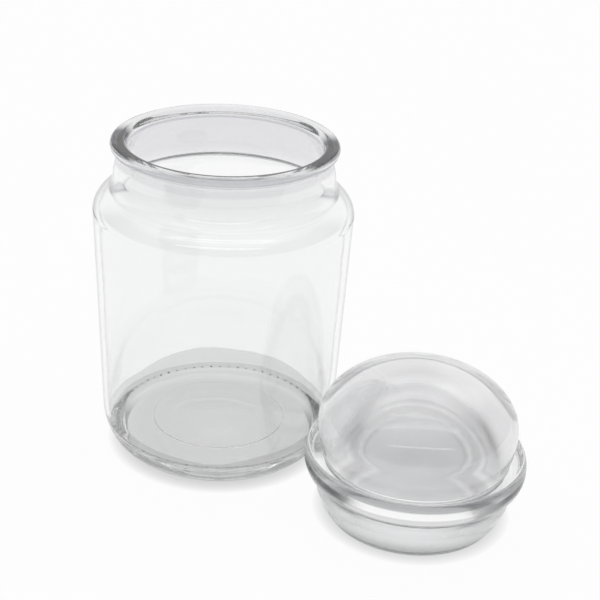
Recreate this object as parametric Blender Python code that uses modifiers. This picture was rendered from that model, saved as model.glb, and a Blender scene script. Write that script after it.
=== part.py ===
"""A clear glass storage jar with its thick glass lid standing beside it.

Each piece is one turned shape: the jar on its own upright axis, and the lid's
glass and the soft seal round its plug on another. Both stand on the table, the
plane z = 0. The origin is the middle of the ground that the jar and the lid
take up together. Lengths are in metres, and +Z is up.
"""

import math

import bpy

# Jar: overall sizes, measured outside.
JAR_HEIGHT = 0.1370
BODY_RADIUS = 0.0535
FOOT_RADIUS = 0.0502

# Jar: the rounded heel, the ring it stands on and the pushed-up base.
HEEL_HEIGHT = 0.0197
HEEL_RUN = 0.0137
BEARING_WIDTH = 0.0030
PUSH_UP_HEIGHT = 0.0015

# Jar: shoulder and neck. The drop is from the rim's top to the shoulder's start.
SHOULDER_DROP = 0.0301
SHOULDER_RUN = 0.0124
SHOULDER_RISE = 0.0101
NECK_RADIUS = 0.0434
NECK_FLARE = 0.0017
NECK_LENGTH = 0.0080

# Jar: the bead round the rim and the flat land on top of it.
BEAD_OVERHANG = 0.0029
BEAD_HEIGHT = 0.0039
RIM_LAND_WIDTH = 0.0028
MOUTH_ROUND_HEIGHT = 0.0030

# Jar: inside. The bore is straight from the rim's top down to its length.
BORE_RADIUS = 0.0398
BORE_LENGTH = 0.0100
BODY_WALL = 0.0026
FLOOR_HEIGHT = 0.0100
FLOOR_RADIUS = 0.0445
INNER_HEEL_RISE = 0.0042

# Jar: the low raised disc in the middle of the inner floor.
DISC_RADIUS = 0.0278
DISC_STEP = 0.0004

# Seal: the soft ring round the lid's plug. It clears the jar's bore a little.
SEAL_CLEARANCE = 0.0004
SEAL_WALL = 0.0021
SEAL_TOE_WALL = 0.0012
SEAL_BULGE_HEIGHT = 0.0110
SEAL_FOOT_GAP = 0.0004

# Lid glass, from its foot up: the plug, the flange, the waist and the dome.
PLUG_TAPER = 0.0040
PLUG_FOOT_ROUND = 0.0014
PLUG_FOOT_WIDTH = 0.0016
SEAT_HEIGHT = 0.0197
SEAT_FILLET = 0.0022
FLANGE_OVERLAP = 0.0015
FLANGE_THICKNESS = 0.0096
FLANGE_EDGE_RUN = 0.0018
WAIST_RADIUS = 0.0376
WAIST_DEPTH = 0.0022
DOME_RADIUS = 0.0400
DOME_WAIST_RISE = 0.0127
DOME_RISE = 0.0240

# Lid glass, inside: a round hollow from the foot up, under a thick dome.
PLUG_FOOT_WALL = 0.0035
HOLLOW_RADIUS = 0.0320
DOME_WALL = 0.0125

# Pieces that touch are modelled this far apart.
PIECE_GAP = 0.0003

# The lid beside the jar: the gap between them, and the way it lies from the jar.
LID_GAP = 0.0018
LID_BEARING_DEG = -31.9

# How the round shapes are divided.
TURN_STEPS = 48
MERGE_DISTANCE = 0.00001

# Clear soda-lime glass, and the clear soft plastic of the seal.
GLASS_COLOUR = (0.93, 0.95, 0.96, 1.0)
GLASS_ROUGHNESS = 0.02
GLASS_IOR = 1.52
SEAL_COLOUR = (0.86, 0.88, 0.88, 1.0)
SEAL_ROUGHNESS = 0.30
SEAL_IOR = 1.49

# Shares of the push-up's radius at which its shallow dome has a point.
PUSH_UP_SHARES = (0.9, 0.7, 0.5, 0.3, 0.0)

# How far round the shoulder's curve the neck's inside and outside leave it.
SHOULDER_END_DEG = 62

# Where the corner of the blend from the shoulder to the bore lies: its share of the
# way up, and how far outside the bore, as a share of the mouth's rounding.
BORE_BLEND_SHARE = 0.3
BORE_BLEND_RUN_SHARE = 0.3

# How far up the seal's bulge its rounding is centred.
SEAL_BULGE_SHARE = 0.65


def arc(centre, run, rise, start_deg, end_deg, steps):
    """Return an ellipse's arc; 0 degrees points outward, 90 degrees up."""
    points = []
    for step in range(steps + 1):
        turn = math.radians(start_deg + (end_deg - start_deg) * step / steps)
        points.append((centre[0] + run * math.cos(turn), centre[1] + rise * math.sin(turn)))
    return points


def blend(start, corner, end, steps):
    """Return the points between start and end of a curve that rounds a corner."""
    points = []
    for step in range(1, steps):
        share = step / steps
        weights = ((1 - share) ** 2, 2 * share * (1 - share), share**2)
        points.append(
            tuple(
                sum(weight * point[axis] for weight, point in zip(weights, (start, corner, end)))
                for axis in (0, 1)
            )
        )
    return points


def between(start, end, share):
    """Return the point a share of the way from start to end."""
    return tuple(a + (b - a) * share for a, b in zip(start, end))


def rim_radius():
    """Return the radius of the jar's rim at its bead."""
    return NECK_RADIUS + BEAD_OVERHANG


def rim_land():
    """Return the inner and outer radius of the flat land on the jar's rim."""
    middle = (BORE_RADIUS + rim_radius()) / 2
    return middle - RIM_LAND_WIDTH / 2, middle + RIM_LAND_WIDTH / 2


def flange_radius():
    """Return the lid's widest radius, which stops short of the rim's outer edge."""
    return rim_radius() - FLANGE_OVERLAP


def seal_radius():
    """Return the seal's widest radius, just inside the jar's bore."""
    return BORE_RADIUS - SEAL_CLEARANCE


def plug_radius():
    """Return the radius of the lid's plug at the flange, inside the seal."""
    return seal_radius() - SEAL_WALL - PIECE_GAP


def jar_inside():
    """Return the jar's inner profile, from the floor's middle up to the rim's land."""
    inner_foot = FOOT_RADIUS - BODY_WALL
    inner_body = BODY_RADIUS - BODY_WALL
    disc_height = FLOOR_HEIGHT + DISC_STEP
    disc_edge = (DISC_RADIUS, disc_height)
    disc_foot = (DISC_RADIUS + DISC_STEP * 2, FLOOR_HEIGHT)
    disc_corner = (DISC_RADIUS + DISC_STEP, disc_height)
    disc = [(0.0, disc_height), disc_edge] + blend(disc_edge, disc_corner, disc_foot, 2)
    heel_centre = (FLOOR_RADIUS, FLOOR_HEIGHT + INNER_HEEL_RISE)
    heel = arc(heel_centre, inner_foot - FLOOR_RADIUS, INNER_HEEL_RISE, -90, 0, 6)
    shoulder_centre = (BODY_RADIUS - SHOULDER_RUN, JAR_HEIGHT - SHOULDER_DROP)
    shoulder_run = inner_body - shoulder_centre[0]
    shoulder_rise = SHOULDER_RISE - BODY_WALL
    shoulder = arc(shoulder_centre, shoulder_run, shoulder_rise, 0, SHOULDER_END_DEG, 4)
    bore_foot = (BORE_RADIUS, JAR_HEIGHT - BORE_LENGTH)
    corner = (
        BORE_RADIUS + MOUTH_ROUND_HEIGHT * BORE_BLEND_RUN_SHARE,
        between(shoulder[-1], bore_foot, BORE_BLEND_SHARE)[1],
    )
    land_start = rim_land()[0]
    mouth_centre = (land_start, JAR_HEIGHT - MOUTH_ROUND_HEIGHT)
    mouth = arc(mouth_centre, land_start - BORE_RADIUS, MOUTH_ROUND_HEIGHT, 180, 90, 3)
    to_bore = blend(shoulder[-1], corner, bore_foot, 5)
    return disc + [disc_foot] + heel + shoulder + to_bore + [bore_foot] + mouth


def jar_outside():
    """Return the jar's outer profile, from the rim's land down to the base's middle."""
    half_bead = BEAD_HEIGHT / 2
    land_end = rim_land()[1]
    bead_centre = (land_end, JAR_HEIGHT - half_bead)
    bead = arc(bead_centre, rim_radius() - land_end, half_bead, 90, -60, 6)
    neck_top = (NECK_RADIUS, JAR_HEIGHT - BEAD_HEIGHT - half_bead / 2)
    neck_foot = (NECK_RADIUS + NECK_FLARE, neck_top[1] - NECK_LENGTH)
    shoulder_centre = (BODY_RADIUS - SHOULDER_RUN, JAR_HEIGHT - SHOULDER_DROP)
    shoulder = arc(shoulder_centre, SHOULDER_RUN, SHOULDER_RISE, SHOULDER_END_DEG, 0, 5)
    corner = (neck_foot[0], between(neck_foot, shoulder[0], 0.5)[1])
    heel_centre = (FOOT_RADIUS - HEEL_RUN, HEEL_HEIGHT)
    heel = arc(heel_centre, HEEL_RUN, HEEL_HEIGHT, 0, -90, 7)
    bearing_inner = heel_centre[0] - BEARING_WIDTH
    push_up = [
        (bearing_inner * share, PUSH_UP_HEIGHT * (1 - share**2) ** 2)
        for share in PUSH_UP_SHARES
    ]
    to_shoulder = blend(neck_foot, corner, shoulder[0], 3)
    foot = heel + [(bearing_inner, 0.0)] + push_up
    return bead + [neck_top, neck_foot] + to_shoulder + shoulder + foot


def jar_profile():
    """Return the jar's whole profile: inside, over the rim, down the outside."""
    return jar_inside() + jar_outside()


def plug_side():
    """Return the plug's outer side, from under the flange down to its foot."""
    top = plug_radius()
    foot = top - PLUG_TAPER
    seat_inner = (top + SEAT_FILLET, SEAT_HEIGHT)
    side_top = (top, SEAT_HEIGHT - SEAT_FILLET)
    round_centre = (foot - PLUG_FOOT_ROUND, PLUG_FOOT_ROUND)
    foot_round = arc(round_centre, PLUG_FOOT_ROUND, PLUG_FOOT_ROUND, 0, -90, 3)
    fillet = blend(seat_inner, (top, SEAT_HEIGHT), side_top, 3)
    return [seat_inner] + fillet + [side_top] + foot_round


def dome_middle():
    """Return the height of the dome's widest place, above the waist."""
    return SEAT_HEIGHT + FLANGE_THICKNESS - WAIST_DEPTH + DOME_WAIST_RISE


def dome_curve():
    """Return the dome's profile from its top down to where it is drawn in to its waist."""
    centre = (0.0, dome_middle())
    tuck_deg = math.degrees(math.acos(WAIST_RADIUS / DOME_RADIUS))
    tuck_rise = DOME_WAIST_RISE / math.sin(math.radians(tuck_deg))
    upper = arc(centre, DOME_RADIUS, DOME_RISE, 90, 0, 9)
    return upper + arc(centre, DOME_RADIUS, tuck_rise, 0, -tuck_deg, 3)[1:]


def hollow_curve():
    """Return the hollow's profile, from the plug's foot up to its rounded top."""
    low = (plug_radius() - PLUG_TAPER - PLUG_FOOT_WALL, PLUG_FOOT_ROUND * 2)
    rise = dome_middle() + DOME_RISE - DOME_WALL - SEAT_HEIGHT
    return [low] + arc((0.0, SEAT_HEIGHT), HOLLOW_RADIUS, rise, 0, 90, 12)


def lid_profile():
    """Return the lid glass's profile: down the outside from the top, then up inside."""
    edge_centre = (flange_radius() - FLANGE_EDGE_RUN, SEAT_HEIGHT + FLANGE_THICKNESS / 2)
    edge = arc(edge_centre, FLANGE_EDGE_RUN, FLANGE_THICKNESS / 2, 90, -90, 7)
    side = plug_side()
    inner_foot = (side[-1][0] - PLUG_FOOT_WIDTH, 0.0)
    return dome_curve() + edge + side + [inner_foot] + hollow_curve()


def seal_profile():
    """Return the seal's closed profile: down its outer side, then up along the plug."""
    plug_top = plug_radius()
    toe = plug_top - PLUG_TAPER + PIECE_GAP
    top_height = SEAT_HEIGHT - SEAT_FILLET - PIECE_GAP
    toe_outer = (toe + SEAL_TOE_WALL, SEAL_FOOT_GAP)
    bulge_top = (seal_radius(), SEAL_FOOT_GAP + SEAL_BULGE_HEIGHT)
    bulge_corner = (seal_radius(), between(toe_outer, bulge_top, SEAL_BULGE_SHARE)[1])
    bulge = [bulge_top] + blend(bulge_top, bulge_corner, toe_outer, 5) + [toe_outer]
    outer_top = (seal_radius(), top_height)
    inner_foot = (toe, SEAL_FOOT_GAP)
    inner_low = (toe, PLUG_FOOT_ROUND)
    inner_top = (plug_top + PIECE_GAP, top_height)
    return [outer_top] + bulge + [inner_foot, inner_low, inner_top]


def clear_material(name, colour, roughness, ior):
    """Return a new clear material, such as glass."""
    material = bpy.data.materials.new(name)
    material.use_nodes = True
    shader = material.node_tree.nodes["Principled BSDF"]
    shader.inputs["Base Color"].default_value = colour
    shader.inputs["Roughness"].default_value = roughness
    shader.inputs["Metallic"].default_value = 0.0
    shader.inputs["IOR"].default_value = ior
    shader.inputs["Transmission Weight"].default_value = 1.0
    return material


def jar_glass():
    """Return the jar's clear glass."""
    return clear_material("jar_glass", GLASS_COLOUR, GLASS_ROUGHNESS, GLASS_IOR)


def lid_glass():
    """Return the lid's clear glass."""
    return clear_material("lid_glass", GLASS_COLOUR, GLASS_ROUGHNESS, GLASS_IOR)


def seal_plastic():
    """Return the seal's clear soft plastic."""
    return clear_material("seal_plastic", SEAL_COLOUR, SEAL_ROUGHNESS, SEAL_IOR)


def turned_piece(name, profile, closed, material, carrier, collection):
    """Turn a profile of (radius, height) points round the carrier's upright axis."""
    mesh = bpy.data.meshes.new(name)
    points = [(radius, 0.0, height) for radius, height in profile]
    edges = [(first, first + 1) for first in range(len(points) - 1)]
    if closed:
        edges.append((len(points) - 1, 0))
    mesh.from_pydata(points, edges, [])
    mesh.materials.append(material)
    piece = bpy.data.objects.new(name, mesh)
    collection.objects.link(piece)
    piece.parent = carrier
    turn = piece.modifiers.new("Turn", "SCREW")
    turn.axis = "Z"
    turn.angle = math.tau
    turn.steps = TURN_STEPS
    turn.render_steps = TURN_STEPS
    turn.use_merge_vertices = True
    turn.merge_threshold = MERGE_DISTANCE
    turn.use_smooth_shade = True


def carrier_empty(name, place, parent, collection):
    """Add an empty that carries a piece on its upright axis."""
    empty = bpy.data.objects.new(name, None)
    empty.location = place
    empty.parent = parent
    collection.objects.link(empty)
    return empty


def standing_places():
    """Return where the jar's and the lid's axes stand, as two (x, y) pairs."""
    flange_middle = SEAT_HEIGHT + FLANGE_THICKNESS / 2
    straight_height = JAR_HEIGHT - SHOULDER_DROP - HEEL_HEIGHT
    wall_share = (flange_middle - HEEL_HEIGHT) / straight_height
    wall_radius = FOOT_RADIUS + (BODY_RADIUS - FOOT_RADIUS) * wall_share
    distance = wall_radius + LID_GAP + flange_radius()
    bearing = math.radians(LID_BEARING_DEG)
    lid = (distance * math.cos(bearing), distance * math.sin(bearing))
    low = [min(-BODY_RADIUS, place - flange_radius()) for place in lid]
    high = [max(BODY_RADIUS, place + flange_radius()) for place in lid]
    middle = [(a + b) / 2 for a, b in zip(low, high)]
    return (-middle[0], -middle[1]), (lid[0] - middle[0], lid[1] - middle[1])


def clear_objects():
    """Remove whatever the scene holds."""
    for found in list(bpy.data.objects):
        bpy.data.objects.remove(found, do_unlink=True)


def build():
    """Build the jar and the lid where they stand."""
    clear_objects()
    collection = bpy.data.collections.new("glass_jar")
    bpy.context.scene.collection.children.link(collection)
    jar_place, lid_place = standing_places()
    base = carrier_empty("set_base", (0.0, 0.0, 0.0), None, collection)
    jar_axis = carrier_empty("jar_axis", (*jar_place, 0.0), base, collection)
    lid_axis = carrier_empty("lid_lift", (*lid_place, 0.0), base, collection)
    turned_piece("jar_body", jar_profile(), False, jar_glass(), jar_axis, collection)
    turned_piece("lid_glass", lid_profile(), False, lid_glass(), lid_axis, collection)
    turned_piece("lid_seal", seal_profile(), True, seal_plastic(), lid_axis, collection)


build()
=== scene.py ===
"""Finishes the clear glass jar and its bubble lid, and lights them on a pale table."""

import math

import bpy
from mathutils import Matrix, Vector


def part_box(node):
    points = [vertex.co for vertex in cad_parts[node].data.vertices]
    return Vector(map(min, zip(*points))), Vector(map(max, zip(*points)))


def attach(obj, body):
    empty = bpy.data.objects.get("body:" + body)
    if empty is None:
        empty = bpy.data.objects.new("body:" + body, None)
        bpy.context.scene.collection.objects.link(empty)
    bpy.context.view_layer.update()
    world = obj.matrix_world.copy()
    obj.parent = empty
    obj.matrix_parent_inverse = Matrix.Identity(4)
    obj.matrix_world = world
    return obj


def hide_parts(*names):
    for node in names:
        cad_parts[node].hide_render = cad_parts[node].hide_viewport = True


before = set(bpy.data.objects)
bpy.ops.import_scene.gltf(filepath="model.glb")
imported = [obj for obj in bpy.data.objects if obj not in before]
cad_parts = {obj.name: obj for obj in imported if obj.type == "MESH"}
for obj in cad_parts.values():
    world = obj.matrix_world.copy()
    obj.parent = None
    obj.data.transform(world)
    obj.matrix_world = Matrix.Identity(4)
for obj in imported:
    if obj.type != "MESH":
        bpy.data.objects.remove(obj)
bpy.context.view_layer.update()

bl_info = {
    "name": "Glass jar with a bubble lid",
    "version": (1, 0, 0),
    "blender": (4, 5, 0),
    "location": "3D View > Sidebar > Glass jar",
    "description": "Builds the jar, its lid, the lid's seal and the table they stand on",
    "category": "Object",
}

JAR_LOW, JAR_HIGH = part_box("jar_body")
LID_LOW, LID_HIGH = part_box("lid_glass")
SEAL_LOW, SEAL_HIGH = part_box("lid_seal")
JAR_AXIS = (JAR_LOW + JAR_HIGH) / 2
LID_AXIS = (LID_LOW + LID_HIGH) / 2

# Shapes: the small circle that profiles are swept along, then angles, shares, lengths and seeds
SWEEP_RADIUS = 0.01
MERGE_DISTANCE = 0.000001
SHOULDER_END_DEG = 62
BEAD_END_DEG = -60
MOUTH_EASE_SHARE = 0.3
BEAD_EASE_SHARE = 0.2
BULGE_EASE_SHARE = 0.65
LID_WAVE_RISE = 0.01
DOT_SIZE_SHARES = (0.6, 1.0)
JAR_WAVE_SEED = 4.0
LID_WAVE_SEED = 9.0
DOT_SEED = 3

# Soft patterns, by the names of the noise node's inputs
WAVES = {"Detail": 1.0, "Roughness": 0.4}
WANDER = {"Scale": 26.0, "Detail": 1.0, "Roughness": 0.5}
RAGGED = {"Scale": 45.0, "W": 5.0, "Detail": 0.0, "Roughness": 0.5}
HAZE = {"Scale": 28.0, "W": 2.0, "Detail": 1.0, "Roughness": 0.5}
SPECKS = {"Scale": 60.0, "W": 6.0, "Detail": 2.0, "Roughness": 0.5}
SMEARS = {"Scale": 55.0, "Detail": 4.0, "Roughness": 0.6}
SWELLS = {"Scale": 90.0, "Detail": 2.0, "Roughness": 0.5}
SWELL_SEED_STEP = 3
NOISE_MIDDLE = (0.5, 0.5, 0.5)
LEVEL_ONLY = (1.0, 1.0, 0.0)

# Faces of the pieces: least and most roughness, strength of the swells and seed
JAR_FACE = (0.0, 0.03, 0.05, 1.0)
LID_FACE = (0.0, 0.03, 0.05, 7.0)
SEAL_FACE = (0.12, 0.25, 0.1, 12.0)

# What all the glass has alike
SMEAR_SHARES = (0.45, 0.75)
SWELL_DEPTH = 0.0005
GLASS_IOR = 1.5
LAMP_TINT = (0.93, 0.94, 0.94, 1.0)

# Tints of the jar's base, with painted shade on its heel, inner wall and disc step: where they
# start and are full, and where a line fades and is gone
EDGE_BLUR = 0.0003
INNER_WALL_SHARE = 0.7
HEEL_FADE_SHARES = (1.0, 0.8)
HEEL_LINE_SHARES = (0.36, 0.24)
HEEL_REACH_SHARE = 0.75
DISC_LINE_SHARES = (0.3, 0.45, 0.6, 0.75)

# Tints of the jar's neck and rim, in the same way, with painted shade on the far neck, the bore,
# the mouth's edge and the rim's sides
NECK_WALL_SHARE = 0.5
FAR_DEPTH_SHARES = (-1.0, -1.3)
FAR_SIDE_SHARES = (-3.0, 3.0)
BEAD_START_SHARE = 0.5
BEAD_DEPTH_SHARES = (-1.6, -1.0)
BORE_LINE_SHARES = (-1.6, -1.4, -1.2, -1.05)
BORE_REACH_SHARE = 0.2
LIP_REACH_SHARES = (1.05, 0.85)
LIP_DEPTH_SHARES = (-0.5, -0.3)
LIP_FRONT_SHARES = (1.0, -2.0)
CRESCENT_REACH_SHARES = (0.0, -0.3)
CRESCENT_SIDE_SHARES = (0.72, 0.85)
CRESCENT_DEPTH_SHARES = (-0.8, -0.5)
CRESCENT_FRONT_SHARES = (5.0, 1.0)

# Painted shade along the outline where the jar turns away: how far it has turned, and how high on
# the shoulder
THIN_OUTLINE_SHARES = (0.78, 0.92)
WIDE_OUTLINE_SHARES = (0.60, 0.85)
OUTLINE_HEIGHT_SHARES = (-0.2, 0.2, 1.2, 1.8)

# Tints of the lid, in the same way, with painted shade on the flange's edge
HAZE_SHARES = (0.35, 0.65)
DOMED_SHARES = (0.5, 1.0)
FLANGE_REACH_SHARES = (-1.0, -0.6)
FLANGE_FOOT_SHARES = (-0.08, -0.16)
FLANGE_TOP_SHARES = (0.16, 0.24)
FLANGE_MIDDLE_SHARES = (0.80, 0.50)
FLANGE_SIDE_SHARES = (0.45, 0.75)
FLANGE_LINE_SHARES = (-0.22, -0.10, 0.10, 0.22)
FLANGE_FRONT_SHARES = (1.0, -1.0)

# Stage
TABLE_COLOUR = (0.97, 0.97, 0.97, 1.0)
OPEN_LEVEL = 0.995
STRIP_END_SHARE = 0.8
STRIP_EDGE_SHARE = 0.5
STRIP_FADE = (0.0, 0.2)
SENSOR_WIDTH = 36.0
CLIP_END = 50.0
BOUNCES = 32


def number(name, default, description, **more):
    """Return a number property."""
    return bpy.props.FloatProperty(name=name, default=default, description=description, **more)


def whole(name, default, description, **more):
    """Return a whole number property."""
    return bpy.props.IntProperty(name=name, default=default, description=description, **more)


def length(name, default, description):
    """Return a length property in metres."""
    return number(name, default, description, unit="LENGTH", precision=5)


def vector(name, default, description, **more):
    """Return a property of several numbers."""
    return bpy.props.FloatVectorProperty(
        name=name, default=default, description=description, **more
    )


def colour(name, default, description):
    """Return a colour property."""
    return vector(name, (*default, 1.0), description, subtype="COLOR", size=4, min=0, max=1)


def group(name, kind, description):
    """Return a property that holds a group of properties."""
    return bpy.props.PointerProperty(name=name, type=kind, description=description)


class JarSizes(bpy.types.PropertyGroup):
    """The jar's sizes, outside and inside."""

    height: length("Height", JAR_HIGH.z, "From the table to the rim's top")
    body_radius: length("Body radius", (JAR_HIGH.x - JAR_LOW.x) / 2, "At the shoulder's foot")
    foot_radius: length("Foot radius", 0.0502, "Where the straight wall meets the heel")
    heel_height: length("Heel height", 0.0197, "Height of the rounded heel outside")
    heel_run: length("Heel run", 0.0137, "How far the heel turns in under the jar")
    bearing_width: length("Bearing width", 0.0030, "Width of the ring the jar stands on")
    push_up: length("Push-up", 0.0015, "Height of the base's middle over the table")
    shoulder_drop: length("Shoulder drop", 0.0301, "From the rim's top to the shoulder's foot")
    shoulder_run: length("Shoulder run", 0.0124, "How far the shoulder turns in")
    shoulder_rise: length("Shoulder rise", 0.0101, "Height of the shoulder's curve")
    neck_radius: length("Neck radius", 0.0434, "Just under the bead")
    neck_flare: length("Neck flare", 0.0017, "How much wider the neck is at its foot")
    neck_length: length("Neck length", 0.0080, "Height of the neck's straight side")
    bead_overhang: length("Bead overhang", 0.0029, "How far the bead stands out of the neck")
    bead_height: length("Bead height", 0.0039, "Height of the rim's bead")
    land_width: length("Land width", 0.0028, "Width of the flat land on the rim")
    mouth_round: length("Mouth round", 0.0030, "Height of the mouth's rounded inner edge")
    bore_radius: length("Bore radius", 0.0398, "Inside the mouth")
    wall: length("Wall", 0.0026, "Thickness of the wall")
    floor_height: length("Floor height", 0.0100, "Height of the inner floor over the table")
    floor_radius: length("Floor radius", 0.0445, "Radius of the inner floor's flat")
    inner_heel: length("Inner heel", 0.0042, "Height of the rounded inner corner")
    disc_radius: length("Disc radius", 0.0278, "Radius of the raised disc on the inner floor")
    disc_step: length("Disc step", 0.0004, "How far the disc stands out of the floor")
    disc_drift: length("Disc drift", 0.0030, "How far the disc's outline wanders")
    bore_length: length("Bore length", 0.0100, "From the rim's top down to where the bore widens")
    wave_height: length("Wave height", 0.0002, "How far the inner wall waves in and out")
    wave_width: length("Wave width", 0.0240, "Width of the inner wall's waves")
    steps: whole("Steps", 288, "Faces round the jar", min=16)


class LidSizes(bpy.types.PropertyGroup):
    """The lid glass's sizes, from its foot up."""

    plug_radius: length("Plug radius", 0.0370, "At the flange, inside the seal")
    plug_taper: length("Plug taper", 0.0040, "How much narrower the plug is at its foot")
    foot_round: length("Foot round", 0.0014, "Rounding of the foot's outer edge")
    foot_width: length("Foot width", 0.0016, "Width of the flat foot")
    seat_height: length("Seat height", 0.0197, "From the foot to the flange's underside")
    seat_fillet: length("Seat fillet", 0.0022, "Fillet between the plug and the flange")
    flange_radius: length("Flange radius", (LID_HIGH.x - LID_LOW.x) / 2, "The lid's widest")
    flange_thickness: length("Flange thickness", 0.0096, "Height of the flange's edge")
    flange_edge: length("Flange edge", 0.0018, "How far the flange's edge is rounded")
    waist_radius: length("Waist radius", 0.0376, "Where dome and flange meet")
    waist_depth: length("Waist depth", 0.0022, "How far the waist lies under the flange's top")
    dome_radius: length("Dome radius", 0.0400, "The dome's widest")
    dome_waist_rise: length("Dome waist rise", 0.0127, "From the waist to the dome's widest")
    dome_rise: length("Dome rise", 0.0240, "From the dome's widest to its top")
    foot_wall: length("Foot wall", 0.0035, "Thickness of the plug at its foot")
    hollow_radius: length("Hollow radius", 0.0320, "Radius of the hollow at the flange")
    dome_wall: length("Dome wall", 0.0125, "Thickness of the glass over the hollow")
    wave_height: length("Wave height", 0.0003, "How far the inner wall waves in and out")
    wave_width: length("Wave width", 0.0200, "Width of the inner wall's waves")
    steps: whole("Steps", 288, "Faces round the lid", min=16)


class SealSizes(bpy.types.PropertyGroup):
    """The sizes of the soft ring round the lid's plug."""

    radius: length("Radius", (SEAL_HIGH.x - SEAL_LOW.x) / 2, "The ring's widest")
    toe_wall: length("Toe wall", 0.0012, "Thickness at the ring's foot")
    bulge_height: length("Bulge height", 0.0110, "Height of the ring's curved lower part")
    foot_gap: length("Foot gap", 0.0004, "From the table to the ring")
    play: length("Play", 0.0003, "Between the ring and the glass")
    steps: whole("Steps", 192, "Faces round the ring", min=16)


class StippleSizes(bpy.types.PropertyGroup):
    """The ring of small dots round the jar's inner floor."""

    count: whole("Count", 66, "Dots in the ring")
    radius: length("Ring radius", 0.0440, "Radius of the ring of dots")
    dot: length("Dot radius", 0.0005, "Radius of one dot")


class GlassFinish(bpy.types.PropertyGroup):
    """The colours of the glass and of the seal, with painted shade in dark lines and edges, and
    where the jar's tints lie.
    """

    glass: colour("Thin glass", (0.965, 0.967, 0.968), "Tint of the jar's thin wall")
    base: colour("Thick base", (0.965, 0.965, 0.97), "Tint of the jar's thick base")
    # painted shade: the dark arch of the inner wall round the thick base
    base_wall_shade: colour("Base wall", (0.60, 0.60, 0.605), "Tint of the inner wall round the base")
    # painted shade: a dark line under the mouth's rounded edge
    bore_shade_line: colour("Bore line", (0.45, 0.45, 0.48), "Tint of the bore under its rounded edge")
    # painted shade where the glass turns away from view
    outline: colour("Outline", (0.30, 0.30, 0.32), "Tint where the glass turns away")
    # painted shade: the dark line on the heel's front, close over the table
    heel: colour("Heel", (0.12, 0.125, 0.125), "Tint of the heel close over the table")
    # painted shade: the dark line round the step of the floor's disc
    disc_shade_line: colour("Disc line", (0.35, 0.35, 0.355), "Tint of the step round the floor's disc")
    # painted shade: the clear dots are tinted near black
    dot: colour("Dot", (0.08, 0.08, 0.08), "Tint of the small dots on the floor")
    neck: colour("Neck", (0.80, 0.80, 0.81), "Tint of the jar's neck")
    # painted shade: the neck's far side is tinted darker
    far_neck_shade: colour("Far neck", (0.775, 0.77, 0.80), "Tint of the neck's far side")
    bead: colour("Bead", (0.84, 0.84, 0.855), "Tint of the bead round the rim")
    # painted shade: the near-black line on the lip's front and crescents at the rim's sides
    lip_shade: colour("Lip", (0.012, 0.012, 0.016), "Tint of the mouth's rounded inner edge")
    lid_dark: colour("Lid, dark", (0.77, 0.77, 0.78), "Tint of the lid's hazier patches")
    lid_light: colour("Lid, light", (0.91, 0.91, 0.915), "Tint of the lid's clearer patches")
    plug: colour("Plug", (0.985, 0.985, 0.985), "Tint of the lid's plug")
    # painted shade: the dark band on the front of the flange's upper edge
    flange: colour("Flange edge", (0.26, 0.27, 0.28), "Tint of the flange's upper edge")
    # painted shade: near-black crescents on the edge at both sides
    flange_side_shade: colour("Flange sides", (0.06, 0.065, 0.065), "Tint of the edge at both sides")
    # painted shade: a grey band on the flange's lower edge
    flange_foot_shade: colour("Flange foot", (0.55, 0.55, 0.56), "Tint of the flange's lower edge")
    depth: colour("Depth colour", (0.82, 0.825, 0.822), "Tint that builds up in thick glass")
    # painted shade: the seal darkens towards its foot
    seal_foot_shade: colour("Seal foot", (0.38, 0.39, 0.39), "Tint of the seal at its foot")
    seal_top: colour("Seal top", (0.85, 0.855, 0.86), "Tint of the seal under the flange")
    density: number("Density", 15.0, "How fast thick glass takes its tint")
    lid_density: number("Lid density", 5.0, "How fast the lid's glass takes its tint")
    dullness: number("Dullness", 0.13, "How dull the lid's inside is")
    base_edge: length("Base edge", 0.0165, "Height at which the thick base starts")
    edge_wave: length("Edge wave", 0.0019, "How far the base's edge swings up and down")
    edge_peaks: whole("Edge peaks", 3, "Swings of the base's edge round the jar")
    heel_top: length("Heel top", 0.0100, "Height up to which the outer heel is tinted")
    neck_start: length("Neck start", 0.1280, "Height at which the outer neck's tint starts")
    neck_full: length("Neck full", 0.1292, "Height at which the outer neck's tint is full")
    # heights where the painted shade on the far neck starts and is full
    back_start: length("Far neck start", 0.1080, "Height at which the far neck's tint starts")
    back_full: length("Far neck full", 0.1220, "Height at which the far neck's tint is full")
    bore_start: length("Bore start", 0.1140, "Height at which the inner neck's tint starts")
    bore_full: length("Bore full", 0.1260, "Height at which the inner neck's tint is full")


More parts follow.
